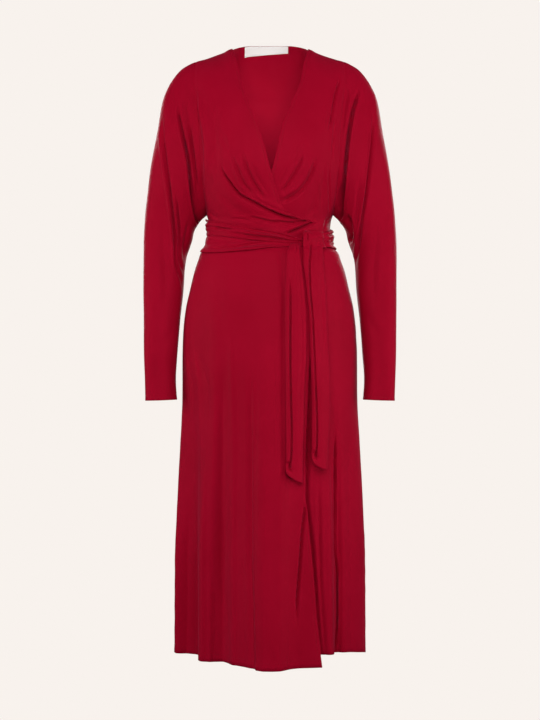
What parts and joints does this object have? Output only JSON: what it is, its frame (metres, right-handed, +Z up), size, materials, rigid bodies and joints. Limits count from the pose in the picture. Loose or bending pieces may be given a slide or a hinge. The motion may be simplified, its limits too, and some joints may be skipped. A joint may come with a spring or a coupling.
{
  "type": "wrap dress",
  "caption": "Midi wrap dress in crimson jersey with long dolman sleeves, crossed V neck, knotted sash and open wrap skirt, filled out hollow as when worn",
  "frame": {"origin": "in the middle of the body at shoulder height, where the wearer holds the dress up", "axes": "+Z up, the dress faces -Y, +X is the wearer's left"},
  "size_m": [0.504, 0.3225, 1.2248],
  "materials": {
    "crimson_jersey": "fine matte-satin jersey with a soft sheen",
    "white_label": "plain woven label, blank"
  },
  "bodies": {
    "root": {"bodice_front_right": "crimson_jersey", "bodice_front_left": "crimson_jersey", "bodice_back": "crimson_jersey", "sleeve_right": "crimson_jersey", "sleeve_left": "crimson_jersey", "skirt_front_right": "crimson_jersey", "skirt_front_left": "crimson_jersey", "skirt_back": "crimson_jersey", "sash_wrap_upper": "crimson_jersey", "sash_wrap_lower": "crimson_jersey", "sash_knot": "crimson_jersey", "sash_tail_inner": "crimson_jersey", "sash_tail_outer": "crimson_jersey", "neck_label": "white_label"}
  },
  "joints": []
}
